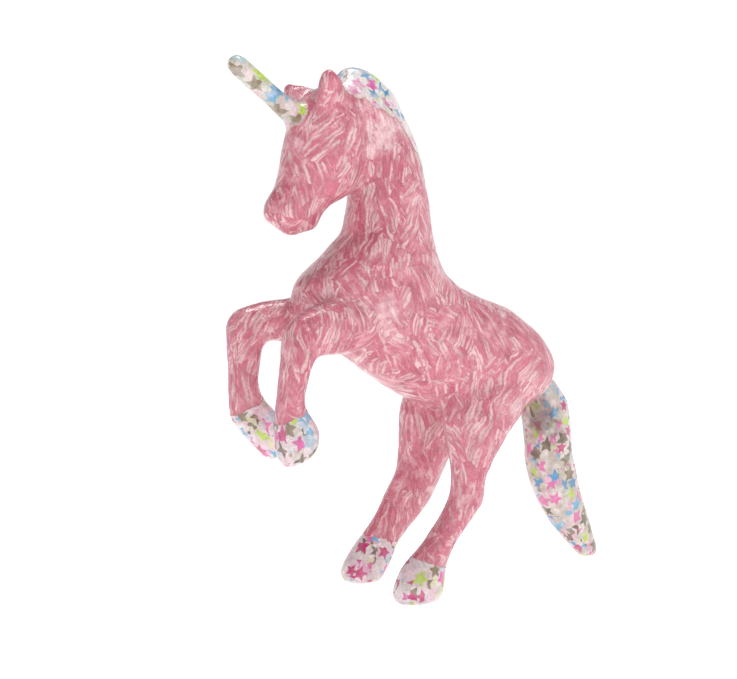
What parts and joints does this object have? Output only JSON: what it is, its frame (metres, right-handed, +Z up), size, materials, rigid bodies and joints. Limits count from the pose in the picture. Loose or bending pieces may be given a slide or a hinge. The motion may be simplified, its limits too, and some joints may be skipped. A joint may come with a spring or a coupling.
{
  "type": "pinata",
  "caption": "Hollow papier-mache rearing unicorn, covered in pink and star-printed paper, with a hinged filling flap in its right flank.",
  "frame": {"origin": "on the floor, under the centre of the bounding box", "axes": "+Z up, the animal faces -X, its left side is towards -Y"},
  "size_m": [0.2732, 0.081, 0.3098],
  "materials": {
    "pink_paper": "glossy varnish over torn paper sheets with a feather pattern in two pinks",
    "star_paper": "glossy varnish over cream paper printed with small coloured stars",
    "card": "plain brown card, matt",
    "wood_rod": "bare softwood dowel, matt"
  },
  "bodies": {
    "figure": {"left_body_shell": "pink_paper", "right_body_shell": "pink_paper", "left_neck_shell": "pink_paper", "right_neck_shell": "pink_paper", "left_head_shell": "pink_paper", "right_head_shell": "pink_paper", "left_foreleg": "pink_paper", "right_foreleg": "pink_paper", "left_hind_leg": "pink_paper", "right_hind_leg": "pink_paper", "left_ear": "pink_paper", "right_ear": "pink_paper", "left_fore_hoof": "star_paper", "right_fore_hoof": "star_paper", "left_hind_hoof": "star_paper", "right_hind_hoof": "star_paper", "tail": "star_paper", "horn": "star_paper", "mane_crest": "star_paper", "neck_collar": "card", "chest_former": "card", "loin_former": "card", "horn_peg": "card", "left_fore_core": "wood_rod", "right_fore_core": "wood_rod", "left_hind_core": "wood_rod", "right_hind_core": "wood_rod", "tail_core": "wood_rod"},
    "flap": {"fill_flap": "pink_paper"}
  },
  "joints": [
    {"name": "flap_hinge", "type": "hinge", "parent": "figure", "child": "flap", "pos_m": [0.01056, 0.0308, 0.16691], "axis": [0.9147, 0, -0.4042], "range_deg": [0, 100]}
  ]
}
